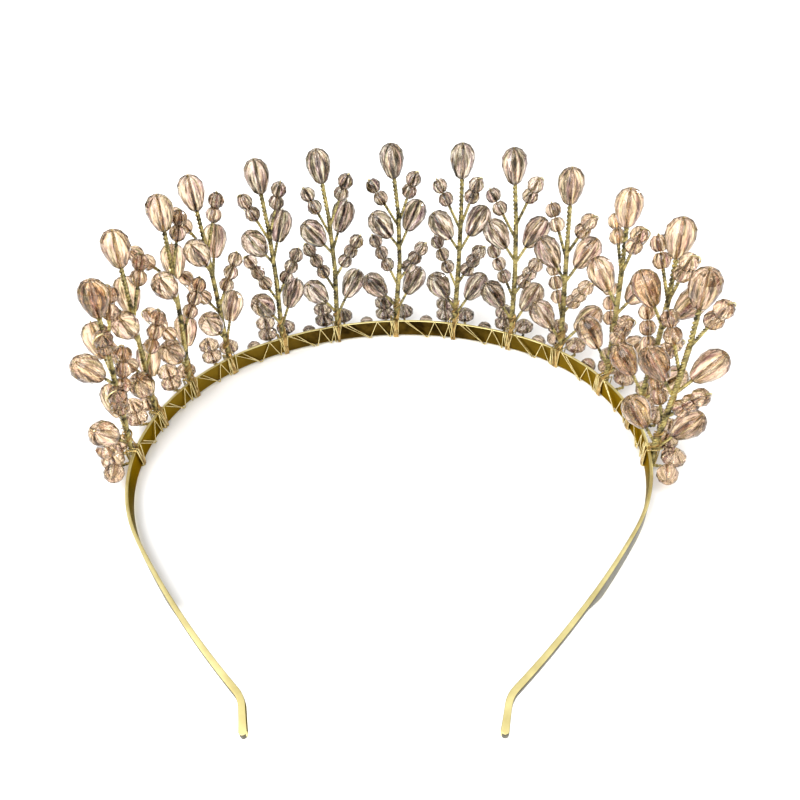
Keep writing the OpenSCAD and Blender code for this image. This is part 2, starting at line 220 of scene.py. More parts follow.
def tinted(tree, colour, tint, share, blend="MULTIPLY"):
    """A colour socket that is changed by a tint, as far as a share between 0 and 1"""
    mix = tree.nodes.new("ShaderNodeMix")
    mix.data_type, mix.blend_type = "RGBA", blend
    mix.inputs["B"].default_value = (*tint, 1)
    tree.links.new(colour, mix.inputs["A"])
    tree.links.new(share, mix.inputs["Factor"])
    return mix.outputs["Result"]


MOTTLED_FROM, MOTTLED_TO, MOTTLE_DETAIL = 0.36, 0.62, 5
DRAW_MARKS, MARK_STRENGTH, MARK_DEPTH = 2200, 0.25, 0.00004


def metal(name, tone, dull, gloss, mottle_scale=160, elsewhere=(), grazing=(1, 1, 1)):
    """Gilt metal: clean gold that mottles towards a duller tone, with fine draw marks

    Each row of elsewhere gives an axis, a near and a far distance, and the tone far out.
    The grazing tone tints what the metal reflects at a slant.
    """
    material, tree, surface = shader(name, Metallic=1, Specular_Tint=(*grazing, 1))
    new, link = tree.nodes.new, tree.links.new
    place = new("ShaderNodeTexCoord")
    mottle = new("ShaderNodeTexNoise")
    mottle.inputs["Scale"].default_value = mottle_scale
    mottle.inputs["Detail"].default_value = MOTTLE_DETAIL
    marks = new("ShaderNodeTexNoise")
    marks.inputs["Scale"].default_value = DRAW_MARKS
    shine = new("ShaderNodeMapRange")
    shine.inputs["To Min"].default_value, shine.inputs["To Max"].default_value = gloss
    bump = new("ShaderNodeBump")
    bump.inputs["Strength"].default_value = MARK_STRENGTH
    bump.inputs["Distance"].default_value = MARK_DEPTH
    link(place.outputs["Object"], mottle.inputs["Vector"])
    link(place.outputs["Object"], marks.inputs["Vector"])
    colour = graded(tree, mottle.outputs["Fac"], (MOTTLED_FROM, dull), (MOTTLED_TO, tone))
    for axis, near, far, other in elsewhere:
        colour = tinted(tree, colour, other, further(tree, axis, near, far), "MIX")
    link(colour, surface.inputs["Base Color"])
    link(marks.outputs["Fac"], shine.inputs["Value"])
    link(shine.outputs["Result"], surface.inputs["Roughness"])
    link(marks.outputs["Fac"], bump.inputs["Height"])
    link(bump.outputs["Normal"], surface.inputs["Normal"])
    return material


edge_gilt = metal("edge_gilt", tone=(0.80, 0.71, 0.34), dull=(0.60, 0.51, 0.22), gloss=(0.35, 0.55))
# Painted shade: the strip's inner face is its gold painted dark brown, painted lighter gold towards
# the temples and dark olive-grey further back on the legs
inner_painted_shade_gilt = metal(
    "inner_painted_shade_gilt",
    tone=(0.085, 0.05, 0.008),
    dull=(0.018, 0.01, 0.002),
    gloss=(0.25, 0.5),
    mottle_scale=300,
    elsewhere=[("X", 0.02, 0.055, (0.2, 0.125, 0.012)), ("Y", 0.056, 0.064, (0.03, 0.031, 0.014))],
    grazing=(0.72, 0.56, 0.25),
)
# Painted shade: the strip's outer face is its gold painted dark olive-grey
outer_painted_shade_gilt = metal(
    "outer_painted_shade_gilt", tone=(0.13, 0.12, 0.08), dull=(0.075, 0.068, 0.045), gloss=(0.3, 0.5)
)


def verts_of(ring):
    """The corners of a ring of corners and edges"""
    return [g for g in ring if isinstance(g, bmesh.types.BMVert)]


def bend(bm, ring, centre, deg, steps):
    """Carries the strip on round a centre, and gives its last ring"""
    turned = bmesh.ops.spin(
        bm,
        geom=ring,
        cent=centre,
        axis=(0, 0, 1),
        angle=-radians(deg),
        steps=steps,
        use_merge=False,
    )
    return turned["geom_last"]


def widen(bm, ring, middle, deg, share):
    """Makes a ring of the strip wider across the strip's heading"""
    frame_there = Matrix.Translation(middle) @ Matrix.Rotation(-radians(deg), 4, "Z")
    bmesh.ops.scale(bm, vec=(1, share, 1), space=frame_there.inverted(), verts=verts_of(ring))


def draw_out(bm, ring, way):
    """Carries the strip straight on, and gives its last ring"""
    edges = [g for g in ring if isinstance(g, bmesh.types.BMEdge)]
    drawn = bmesh.ops.extrude_edge_only(bm, edges=edges)
    ring = [g for g in drawn["geom"] if not isinstance(g, bmesh.types.BMFace)]
    bmesh.ops.translate(bm, vec=way, verts=verts_of(ring))
    return ring


bm = bmesh.new()
half = BAND_T / 2
corners = [(-half, BAND_LOW), (half, BAND_LOW), (half, BAND_HIGH), (-half, BAND_HIGH)]
section = bm.faces.new([bm.verts.new((0, y, z)) for y, z in corners])
bmesh.ops.bevel(
    bm,
    geom=section.verts[:],
    offset=EDGE_ROUND,
    segments=EDGE_STEPS,
    profile=0.5,
    affect="VERTICES",
    material=-1,
)
bmesh.ops.delete(bm, geom=bm.faces[:], context="FACES_ONLY")
ring = bend(bm, bm.verts[:] + bm.edges[:], BROW_C, BROW_DEG, BROW_STEPS)
ring = bend(bm, ring, TEMPLE_C, TEMPLE_DEG, TEMPLE_STEPS)
width = BAND_T
for step in range(1, LEG_STEPS + 1):
    before, width = width, BAND_T + (LEG_T - BAND_T) * step / LEG_STEPS
    deg = LEG_DEG + LEG_BEND * step / LEG_STEPS
    ring = bend(bm, ring, LEG_C, LEG_BEND / LEG_STEPS, 1)
    widen(bm, ring, LEG_C + LEG_R * out_of(deg), deg, width / before)
ring = bend(bm, ring, KICK_C, -KICK_DEG, KICK_STEPS)
for step in range(1, END_STEPS + 1):
    before, width = width, LEG_T + (END_T - LEG_T) * (step / END_STEPS) ** 2
    ring = draw_out(bm, ring, END / END_STEPS * along_at(END_DEG))
    widen(bm, ring, TIP, END_DEG, width / before)
drawn = 0
for share in ROUND_END:
    ring = draw_out(bm, ring, (share - drawn) * END_T / 2 * along_at(END_DEG))
    drawn, before, width = share, width, END_T * (1 - share**2) ** 0.5
    widen(bm, ring, TIP, END_DEG, width / before)
bmesh.ops.mirror(bm, geom=bm.verts[:] + bm.edges[:] + bm.faces[:], merge_dist=SAME_POINT, axis="X")
bmesh.ops.holes_fill(bm, edges=bm.edges[:], sides=0)
bmesh.ops.recalc_face_normals(bm, faces=bm.faces[:])
narrow_from = (LEG_C + LEG_R * out_of(LEG_DEG + NARROW_AT / LEG * LEG_BEND)).y
narrow_to = (LEG_C + LEG_R * out_of(LEG_DEG + (NARROW_AT + NARROW_LEN) / LEG * LEG_BEND)).y
for v in bm.verts:
    done = min(1, max(0, (narrow_from - v.co.y) / (narrow_from - narrow_to)))
    v.co.z = BAND_HIGH - (BAND_HIGH - v.co.z) * (1 - done * (1 - END_H / BAND_H))
for edge in bm.edges:
    edge.smooth = edge.calc_face_angle(0) < CRISP
# Faces turned in or out take the painted-shade golds, the rest the satin pale gold
for f in bm.faces:
    away = f.calc_center_median() - HEAD_MIDDLE
    away.z = 0
    facing = f.normal.dot(away.normalized())
    flank = abs(facing) > FLANK and abs(f.normal.z) < FLANK_SLOPE
    f.material_index = 0 if not flank else 1 if facing < 0 else 2
strip = finish_mesh(bm, "gilt_strip", edge_gilt, inner_painted_shade_gilt, outer_painted_shade_gilt, smooth=True)
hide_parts("headband")

# The sprigs' wire. Each stem is a twist of three thin wires that stands on the strip's
# outer face. Pairs of its wires leave it as twigs, go through the stones as one wire, and
# either end in a nub or come back along the small beads. Hooks at the foot carry rondelles.

# A sprig's row: its place along the strip, the top drop's height, its lean to the right and
# outward, its bow, the turn of its fan, and the lift of its left and its right twigs
ALONG, TOP, RIGHT, OUT, BOW, TURN, LIFT_LEFT, LIFT_RIGHT = range(8)
SPRIGS = [
    (-89.8, 48, 1, -4.5, 0.2, 8, -1, 0),
    (-75.8, 52.5, 1.2, -4, 0, 3, -1, 1),
    (-62.2, 54.4, 2.4, -4.5, 0.7, 8, 0, 1),
    (-49, 54.5, 0.6, -1.2, 0.6, 14, 2.7, 1),
    (-32.6, 54, 1.2, -0.6, 0.9, 8, 0, 0.5),
    (-16.2, 53.9, 0.4, -0.3, 1.2, 2, -0.5, 0.5),
    (1, 53.7, 1.6, 0, 1.6, 0, 0, 0),
    (18.3, 54.1, 2, 0, 0.4, 0, -0.5, -0.5),
    (35.1, 54.5, -1.6, -0.4, 0.8, 4, -1, -1.5),
    (50.2, 53.1, -1.5, -1.5, 0, 8, -1.5, -2),
    (66.4, 53.5, -0.8, -1.6, 0.4, 4, -1.5, -3.4),
    (80.5, 53.5, 1, 0, 1, 24, 3.2, 2),
    (93.5, 51.2, 2.4, -2, 0.7, 54, -5, -3),
]
# A twig's row: where it leaves the stem, as a share of its height, its lean to the right and
# outward, its reach to the first stone's middle, and its number of small beads, 0 for a drop
TWIGS = [
    (0.64, 20, -11, 10.6, 2),
    (0.62, -29, 12, 8.9, 2),
    (0.485, 26, 11, 9.9, 0),
    (0.485, -28, -13, 9.6, 0),
    (0.265, 28, -13, 6.8, 3),
    (0.235, -25, 13, 6.8, 3),
    (0.045, 32, 11, 11, 0),
    (0.085, -29, -14, 10.6, 0),
]
# Twigs bent further by hand, by sprig and twig: more lean, more lean outward, and higher
BENT = {
    (1, 1): (2, 0, 0), (1, 2): (0, -24, 0), (1, 4): (0, 26, 0), (1, 6): (0, -26, 0),
    (1, 8): (-6, 26, -1.5),
    (2, 1): (0, 0, -3), (2, 8): (4, 0, -1),
    (3, 5): (-1, 0, 1), (3, 6): (6, 0, -2),
    (4, 2): (7, 0, 0), (4, 5): (0, 0, 2.5), (4, 6): (5, 0, 1), (4, 7): (7, 0, 1),
    (5, 1): (-6, 0, 0), (5, 2): (9, 0, 0), (5, 6): (6, 0, 0),
    (6, 2): (8, 0, -1), (6, 5): (0, 0, 2.5),
    (8, 8): (6, 0, 0),
    (9, 1): (0, 0, 3.5), (9, 2): (-9, 0, 0), (9, 6): (-5, 0, 0), (9, 7): (-9, 0, 0),
    (10, 1): (6, -6, 1), (10, 4): (2, 0, 0), (10, 6): (-3, 6, -1.5), (10, 8): (3, -5, -1),
    (11, 1): (3, 0, 4), (11, 2): (-8, 6, 3), (11, 5): (-5, 0, -2), (11, 6): (-8, 4, 0),
    (11, 7): (-6, 0, 0),
    (12, 2): (-5, 0, 0),
    (13, 1): (0, 0, 5), (13, 3): (5, 0, -1), (13, 5): (3, 0, 0), (13, 7): (-4, 0, -1),
}
# Stacks of rondelles: place along the strip and outward of the stem, and number
RONDELLES = [(-3.5, 3.55, 2), (2.3, 4.1, 1)]
BEAD_D, BEAD_LEN, DROP_LEN, RONDELLE_LEN = 4.2, 3.5, 8.6, 3.6
STEM_R, TWIG_R, PIN_R = 0.7, 0.4, 0.22
STEM_OFF = BAND_T / 2 + GAP + STEM_R
FOOT_RISE, STEM_BENDS, UNEVENNESS = 0.8, (0.37, 0.69), 1.8
BEAD_STEP, RONDELLE_STEP = BEAD_LEN + GAP + 0.1, RONDELLE_LEN + GAP + 0.08
RONDELLE_LOW, HOOK_STEP, WRAPS_CLEAR = BAND_LOW + 4.6, 0.9, 1.75
KNOT_R = PIN_R + 0.16
THICK, SLIM, FINE, PIN_FINE = 0.37, 0.33, 0.23, PIN_R * 0.8
THICK_LAY, SLIM_LAY, TIP_LAY, FINE_LAY = 2.8, 2.5, 2.2, 1.5
LAY_STEPS, THREE_ROUND = 7, 1.155
SIDEWAYS = Vector((0.31, 0.95, 0.05))
TOP_TUCK, TWIG_TUCK, HOOK_TUCK, TWIG_START = 1, 0.4, 0.6, 0.2
BACK_CLEAR, BACK_WIDE, BACK_WAVE, BACK_TURN = 0.25, 0.86, 0.16, 1
# The wire back, past the last bead and then below the first: how far off, and how much higher
BACK_OVER, BACK_UNDER = [(0, 0.25), (0.9, 0.5)], [(0.8, -0.1), (0.2, -1.2)]
BACK_ASIDE, BACK_OUTWARD = 0.5, 0.86


def sway(i, k):
    """Small repeatable differences between one hand-bent twig and the next"""
    return UNEVENNESS * sin(radians(97 * i + 61 * k))


def at_foot(i):
    """Frame at the foot of a stem, X along the strip, Y outward"""
    along = SPRIGS[i][ALONG]
    return (
        Matrix.Translation(band_at(along))
        @ Matrix.Rotation(-radians(heading(along)), 4, "Z")
        @ Matrix.Translation((0, STEM_OFF, 0))
    )


def in_sprig(i):
    """Frame at the foot of a stem, X along its fan of twigs"""
    return at_foot(i) @ Matrix.Rotation(radians(SPRIGS[i][TURN]), 4, "Z")


def bends(i):
    """Heights at which a stem starts, is bent and ends"""
    foot, top = BAND_HIGH + FOOT_RISE, SPRIGS[i][TOP]
    rise = top - foot
    return [0, foot, foot + STEM_BENDS[0] * rise, foot + STEM_BENDS[1] * rise, top]


def stem_at(i, z):
    """Middle line of a stem at a height, in its sprig's frame"""
    top, right, out, bow = (SPRIGS[i][column] for column in (TOP, RIGHT, OUT, BOW))
    heights = bends(i)
    points = []
    for h in heights:
        u = max(0, (h - heights[1]) / (top - heights[1]))
        points.append(Vector((right * u + 4 * bow * u * (1 - u), out * u, h)))
    low = max(j for j in range(len(heights) - 1) if heights[j] <= z)
    return points[low].lerp(points[low + 1], (z - heights[low]) / (heights[low + 1] - heights[low]))


def on_twig(i, k):
    """Frame where a twig leaves its stem, Z along the twig"""
    leaves, lean, lean_out = TWIGS[k][:3]
    more, more_out, higher = BENT.get((i + 1, k + 1), (0, 0, 0))
    lift = SPRIGS[i][LIFT_RIGHT if lean > 0 else LIFT_LEFT] / (1 if k < len(TWIGS) // 2 else 2)
    z = BAND_HIGH + leaves * (SPRIGS[i][TOP] - BAND_HIGH) + lift + higher
    outward, aside = -lean_out - sway(i, k + 4) - more_out, lean + sway(i, k) + more
    turn = Euler((radians(outward), radians(aside), 0)).to_matrix().to_4x4()
    return in_sprig(i) @ Matrix.Translation(stem_at(i, z)) @ turn


def on_top(i):
    """Frame at the middle of the top drop, Z along it"""
    top, below = stem_at(i, SPRIGS[i][TOP]), stem_at(i, bends(i)[3])
    leaning = (top - below).to_track_quat("Z", "Y").to_matrix().to_4x4()
    return in_sprig(i) @ Matrix.Translation(top) @ leaning


def twist(path, strands, strand_r, lay, phase=0):
    """The strands of a twist that follows a path, one full turn in each lay"""
    points, gone = [], 0
    for a, b in zip(path, path[1:]):
        length, run = (b - a).length, (b - a).normalized()
        steps = max(1, round(length / lay * LAY_STEPS))
        side = run.cross(SIDEWAYS).normalized()
        for n in range(steps):
            points.append((a.lerp(b, n / steps), side, run.cross(side), gone + length * n / steps))
        gone += length
    points.append((path[-1], side, run.cross(side), gone))
    reach = strand_r if strands == 2 else strand_r * THREE_ROUND
    runs = []
    for strand in range(strands):
        run = []
        for p, u, v, d in points:
            t = phase + 2 * pi * (d / lay + strand / strands)
            run.append(p + reach * (u * cos(t) + v * sin(t)))
        runs.append(run)
    return runs


def wires(name, runs, radius, material, soft=False):
    """Round wires along rows of points: one curve piece in metres"""
    curve = bpy.data.curves.new(name, "CURVE")
    curve.dimensions, curve.bevel_depth, curve.bevel_resolution = "3D", radius / 1000, 1
    curve.use_fill_caps, curve.resolution_u = True, 3
    for points in runs:
        spline = curve.splines.new("NURBS" if soft else "POLY")
        spline.points.add(len(points) - 1)
        for point, place in zip(spline.points, points):
            point.co = (*(place / 1000), 1)
        if soft:
            spline.order_u, spline.use_endpoint_u = 3, True
    curve.materials.append(material)
    piece = bpy.data.objects.new(name, curve)
    bpy.context.scene.collection.objects.link(piece)
    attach(piece, "root")
    return piece


def wire_back(k, beads, first, last):
    """The fine wire that comes back beside the small beads of a twig, in the twig's frame"""
    side = BEAD_D / 2 + BACK_CLEAR
    back = [(x, last + z) for x, z in BACK_OVER] + [(side, last - BACK_TURN)]
    for n in range(1, 2 * beads - 1):
        wave = BACK_WIDE + BACK_WAVE * (n % 2)
        back.append((side * wave, last - BACK_TURN - n * BEAD_STEP / 2))
    back += [(x, first + z) for x, z in BACK_UNDER]
    away = -1 if k % 2 else 1
    return [Vector((away * x * BACK_ASIDE, x * BACK_OUTWARD, z)) for x, z in back]


stem_gilt = metal(
    "stem_gilt",
    tone=(0.64, 0.54, 0.22),
    dull=(0.06, 0.055, 0.032),
    gloss=(0.22, 0.4),
    mottle_scale=620,
)
pin_gilt = metal(
    "pin_gilt",
    tone=(0.80, 0.70, 0.38),
    dull=(0.48, 0.40, 0.2),
    gloss=(0.2, 0.35),
    mottle_scale=420,
)

for i in range(len(SPRIGS)):
    sprig, foot = in_sprig(i), at_foot(i)
    heights = bends(i)
    stem_top = SPRIGS[i][TOP] - DROP_LEN / 2 - GAP
    line = [foot @ Vector((0, 0, BAND_LOW + GAP))]
    line += [sprig @ stem_at(i, z) for z in heights[1:4]] + [sprig @ stem_at(i, stem_top)]
    thick = twist(line[:3], 3, THICK, THICK_LAY, phase=i)
    slim = twist(line[2:4], 3, SLIM, SLIM_LAY, phase=2 * i)
    slim += twist(line[3:], 2, SLIM, TIP_LAY, phase=i)
    thin, pins = [], []
    top = on_top(i)
    ends = (-DROP_LEN / 2 - TOP_TUCK, 0, DROP_LEN / 2 + KNOT_R)
    pins.append([top @ Vector((0, 0, z)) for z in ends])
    for k, (_, _, _, reach, beads) in enumerate(TWIGS):
        twig = on_twig(i, k)
        first = reach - (DROP_LEN if beads == 0 else BEAD_LEN) / 2 - GAP
        last = reach + DROP_LEN / 2 if beads == 0 else reach + (beads - 0.5) * BEAD_STEP - GAP
        free = [twig @ Vector((0, 0, TWIG_START)), twig @ Vector((0, 0, first))]
        thin += twist(free, 2, FINE, FINE_LAY, phase=k)
        ends = (first - TWIG_TUCK, first, last, last + KNOT_R)
        pins.append([twig @ Vector((0, 0, z)) for z in ends])
        if beads:
            pins.append([twig @ p for p in wire_back(k, beads, first, last)])
    for side, (x, y, count) in enumerate(RONDELLES):
        low = RONDELLE_LOW - RONDELLE_LEN / 2
        z = low - 2 * TWIG_R - side * HOOK_STEP
        hook = [(0, 0, z), (copysign(WRAPS_CLEAR, x), 0, z), (x, y, z), (x, y, low - GAP)]
        thin += twist([foot @ Vector(p) for p in hook], 2, FINE, FINE_LAY)
        end = RONDELLE_LOW + (count - 0.5) * RONDELLE_STEP + KNOT_R
        pins.append([foot @ Vector((x, y, h)) for h in (low - HOOK_TUCK, low, end)])
    number = f"_{i + 1:02d}"
    stem = wires("stem_wire" + number, thick, THICK, stem_gilt)
    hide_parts("stem" + number)
    wires("stem_tip_wire" + number, slim, SLIM, stem_gilt)
    wires("twig_wire" + number, thin, FINE, stem_gilt)
    wires("bead_wire" + number, pins, PIN_FINE, pin_gilt, soft=True)

# The stones. Drops, small beads and rondelles are cut and polished from pale champagne
# glass and drilled through. Their facets carry painted reflections: each facet and long
# streaks are painted dark brown to cream, for the light that cut glass throws back unevenly.

# A cut's rings: share of the length, and share of the width
DROP_RINGS = [
    (0, 0.36),
    (0.07, 0.54),
    (0.32, 0.83),
    (0.56, 0.99),
    (0.78, 0.93),
    (0.94, 0.64),
    (1, 0.36),
]
BEAD_RINGS = [(0, 0.5), (0.2, 0.84), (0.5, 1), (0.8, 0.84), (1, 0.5)]
RONDELLE_RINGS = [(0, 0.5), (0.1, 0.66), (0.34, 1), (0.66, 1), (0.9, 0.66), (1, 0.5)]
DROP_D, RONDELLE_D = 6.5, 5.6
DROP_SIDES, BEAD_SIDES, RONDELLE_SIDES = 14, 9, 11
BORE_R = PIN_R + 0.14
LEVELS_APART, ORDER_FROM = 1000, 1


def in_order(face):
    """A facet's place in its cut, by height and then round it, the same in every run"""
    middle = face.calc_center_median()
    turn = (atan2(middle.y, middle.x) + ORDER_FROM) % (2 * pi)
    return round(middle.z, 2) * LEVELS_APART + turn


def cut_stone(name, rings, sides, length, width):
    """A stone cut in rings of facets about Z, drilled through, with its middle at the origin

    Its faces know the gore that they lie in, and its UVs are the way round and the height.
    """
    bm = bmesh.new()
    outline = [(share * width / 2, up * length) for up, share in rings]
    outline = [(BORE_R, 0)] + outline + [(BORE_R, length)]
    points = [bm.verts.new((r, 0, z - length / 2)) for r, z in outline]
    edges = [bm.edges.new(pair) for pair in zip(points, points[1:] + points[:1])]
    bmesh.ops.spin(
        bm,
        geom=points + edges,
        cent=(0, 0, 0),
        axis=(0, 0, 1),
        angle=2 * pi,
        steps=sides,
        use_merge=True,
    )
    bmesh.ops.remove_doubles(bm, verts=bm.verts, dist=SAME_POINT)
    for n, (up, _) in enumerate(rings):
        if n % 2:
            level = [v for v in bm.verts if abs(v.co.z - (up - 0.5) * length) < SAME_POINT]
            bmesh.ops.rotate(bm, matrix=Matrix.Rotation(pi / sides, 3, "Z"), verts=level)
    bmesh.ops.triangulate(bm, faces=bm.faces[:])
    bmesh.ops.recalc_face_normals(bm, faces=bm.faces[:])
    bm.faces.sort(key=in_order)
    gore, way_round = bm.faces.layers.int.new("gore"), bm.loops.layers.uv.new("way_round")
    for face in bm.faces:
        middle = face.calc_center_median()
        turn = atan2(middle.y, middle.x)
        face[gore] = int(turn / pi * sides) % (2 * sides)
        for corner in face.loops:
            place = corner.vert.co
            past = (atan2(place.y, place.x) - turn + pi) % (2 * pi) - pi
            corner[way_round].uv = (turn + past, place.z)
    mesh = bpy.data.meshes.new(name)
    bm.to_mesh(mesh)
    bm.free()
    return mesh


drop_cut = cut_stone("drop_cut", DROP_RINGS, DROP_SIDES, DROP_LEN, DROP_D)
bead_cut = cut_stone("bead_cut", BEAD_RINGS, BEAD_SIDES, BEAD_LEN, BEAD_D)
rondelle_cut = cut_stone("rondelle_cut", RONDELLE_RINGS, RONDELLE_SIDES, RONDELLE_LEN, RONDELLE_D)

# Painted reflections: dark brown facets, the champagne body between, and cream highlights
GLASS_TONES_AND_PAINTED_REFLECTIONS = [
    (0.24, (0.02, 0.012, 0.007)),
    (0.45, (0.235, 0.157, 0.108)),
    (0.66, (0.66, 0.54, 0.415)),
    (0.9, (1, 0.945, 0.83)),
]
# Long streaks of painted reflection run down each stone
STREAK_SCALE, STREAK_DETAIL, STREAK_SHARE = (3.6, 0.15, 1), 4, 0.55
STREAK_FROM, STREAK_TO = 0.41, 0.59
PEACH, PEACH_FROM, PEACH_TO, PEACH_LIGHTER = (1, 0.84, 0.7), 0.025, 0.055, 0.17
# Painted shade: facets seen at a slant are painted dark brown, a dark rim round each stone
RIM_PAINTED_SHADE, RIM_BLEND, RIM_FROM, RIM_TO = (0.13, 0.11, 0.09), 0.5, 0.42, 0.78


def crystal_glass():
    """Champagne glass, peachier towards the ends

    Each facet and long streaks through all are painted with reflections, from dark brown to
    cream highlights, with a faint play of rose and gold; the rims are painted dark brown shade.
    """
    material, tree, surface = shader(
        "crystal_glass",
        Roughness=0.03,
        IOR=1.25,
        Transmission_Weight=0.85,
        Coat_Weight=0.3,
        Coat_Roughness=0.02,
    )
    new, link = tree.nodes.new, tree.links.new
    facet = new("ShaderNodeAttribute")
    facet.attribute_name = "facet_painted_reflection"
    way_round = new("ShaderNodeUVMap")
    way_round.uv_map = "way_round"
    drawn_out = new("ShaderNodeMapping")
    drawn_out.inputs["Scale"].default_value = STREAK_SCALE
    streaks = new("ShaderNodeTexNoise")
    streaks.inputs["Scale"].default_value = 1
    streaks.inputs["Detail"].default_value = STREAK_DETAIL
    both = new("ShaderNodeMix")
    both.inputs["Factor"].default_value = STREAK_SHARE
    aside = further(tree, "X", PEACH_FROM, PEACH_TO)
    lighter = new("ShaderNodeMath")
    lighter.operation = "MULTIPLY_ADD"
    lighter.inputs[1].default_value = PEACH_LIGHTER
    link(way_round.outputs["UV"], drawn_out.inputs["Vector"])
    link(drawn_out.outputs["Vector"], streaks.inputs["Vector"])
    link(facet.outputs["Fac"], both.inputs["A"])
    link(grown(tree, streaks.outputs["Fac"], STREAK_FROM, STREAK_TO), both.inputs["B"])
    link(aside, lighter.inputs[0])
    link(both.outputs["Result"], lighter.inputs[2])
    tones = graded(tree, lighter.outputs["Value"], *GLASS_TONES_AND_PAINTED_REFLECTIONS)
    play = new("ShaderNodeMix")
    play.data_type, play.blend_type = "RGBA", "SOFT_LIGHT"
    play.inputs["Factor"].default_value = 1
    link(tinted(tree, tones, PEACH, aside), play.inputs["A"])
    link(streaks.outputs["Color"], play.inputs["B"])
    # The painted dark rim, by how far each facet turns away from the eye
    aslant = new("ShaderNodeLayerWeight")
    aslant.inputs["Blend"].default_value = RIM_BLEND
    rim_painted_shade = grown(tree, aslant.outputs["Facing"], RIM_FROM, RIM_TO)
    link(tinted(tree, play.outputs["Result"], RIM_PAINTED_SHADE, rim_painted_shade), surface.inputs["Base Color"])
    return material


crystal = crystal_glass()
hand = Random(7)
GORE_SHARE, FACET_SHARE = 0.7, 0.3


def crystals(name, placed, *nodes, paler=0.0):
    """One piece of stones, each a cut at a place, with its own play of painted facet reflections"""
    bm = bmesh.new()
    bm.loops.layers.uv.new("way_round")
    tone, gore = bm.faces.layers.float.new("facet_painted_reflection"), bm.faces.layers.int.new("gore")
    for cut, place in placed:
        bm.verts.ensure_lookup_table()
        bm.faces.ensure_lookup_table()
        old_verts, old_faces = len(bm.verts), len(bm.faces)
        bm.from_mesh(cut)
        spun = place @ Matrix.Rotation(hand.uniform(0, 2 * pi), 4, "Z")
        bmesh.ops.transform(bm, matrix=spun, verts=list(bm.verts)[old_verts:])
        # Painted reflections: each gore and each facet gets its own random reflection tone
        gore_painted_reflections = [hand.random() for _ in range(2 * DROP_SIDES)]
        for face in list(bm.faces)[old_faces:]:
            face[tone] = paler + GORE_SHARE * gore_painted_reflections[face[gore]] + FACET_SHARE * hand.random()
    piece = finish_mesh(bm, name, crystal)
    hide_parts(*nodes)


for i in range(len(SPRIGS)):
    number = f"_{i + 1:02d}"
    drops, beads = [(drop_cut, on_top(i))], []
    for k, (_, _, _, reach, count) in enumerate(TWIGS):
        twig = on_twig(i, k)
        if count == 0:
            drops.append((drop_cut, twig @ Matrix.Translation((0, 0, reach))))
        for n in range(count):
            beads.append((bead_cut, twig @ Matrix.Translation((0, 0, reach + n * BEAD_STEP))))
    crystals("cut_drops" + number, drops, "top_drop" + number, "side_drops" + number)
    crystals("cut_beads" + number, beads, "small_beads" + number)
# Painted light: the rondelles and low beads lie low by the strip, so their painted reflections are
# lifted paler
LOW_PAINTED_LIGHT = 0.06
for name, (x, y, count) in zip(("left", "right"), RONDELLES):
    stack = [
        (rondelle_cut, at_foot(i) @ Matrix.Translation((x, y, RONDELLE_LOW + n * RONDELLE_STEP)))
        for i in range(len(SPRIGS))
        for n in range(count)
    ]
    crystals("rondelles_" + name, stack, "base_rondelles_" + name, paler=LOW_PAINTED_LIGHT)

# The low beads. Round cut beads of the same glass lie low against the strip's outer face, held
# there by the lashing: one between sprigs that stand well apart, and a larger one beyond each
# end sprig.
LOW_D, END_LOW_D, LOW_SIDES, LOW_LEN, WIDE_BAY = 4.2, 5, 10, 0.86, 14.9
LOW_Z, END_LOW_Z, END_REACH = BAND_HIGH - 2.4, BAND_LOW + END_LOW_D, 7.8
lows = []
for a, b in zip(SPRIGS, SPRIGS[1:]):
    if b[ALONG] - a[ALONG] > WIDE_BAY:
        lows.append(((a[ALONG] + b[ALONG]) / 2, LOW_Z, LOW_D))
for end in (SPRIGS[0], SPRIGS[-1]):
    lows.append((end[ALONG] + copysign(END_REACH, end[ALONG]), END_LOW_Z, END_LOW_D))
low_cuts = {}
for d in (LOW_D, END_LOW_D):
    low_cuts[d] = cut_stone("low_cut", BEAD_RINGS, LOW_SIDES, d * LOW_LEN, d)
low_places = [
    (
        low_cuts[d],
        Matrix.Translation(band_at(s) + Vector((0, 0, z)))
        @ Matrix.Rotation(-radians(heading(s)), 4, "Z")
        @ Matrix.Translation((0, BAND_T / 2 + d / 2 + LASH_D + GAP, 0))
        @ Matrix.Rotation(pi / 2, 4, "Y"),
    )
    for s, z, d in lows
]
crystals("low_beads", low_places, "low_stones", paler=LOW_PAINTED_LIGHT)

# The lashing. One fine bright wire is wound tightly round the strip and each stem's foot, then
# goes to the next stem in an uneven slanting V across the strip's inner face. The stem's own
# spare wires are wound steeply up its foot, as a browner bundle.
lash_gilt = metal(
    "lash_gilt",
    tone=(0.86, 0.74, 0.38),
    dull=(0.6, 0.48, 0.2),
    gloss=(0.18, 0.32),
    mottle_scale=420,
)
bundle_gilt = metal(
    "bundle_gilt",
    tone=(0.62, 0.42, 0.16),
    dull=(0.22, 0.14, 0.05),
    gloss=(0.2, 0.4),
    mottle_scale=700,
)
LASH_R = LASH_D / 2
LASH_LOW, LASH_HIGH = LASH_R + LASH_JOINT, BAND_HIGH + GAP + LASH_R
LASH_IN = BAND_T / 2 + GAP + LASH_LOW
LASH_FINE, ROUNDING = 0.15, 0.45
# A turn's row: its place along the strip at the top edge, and at the lower edge outside
LASH_TURNS = [(-1.5, -0.9), (-1.05, -0.35), (-0.5, 0.1), (1.05, 0.35)]
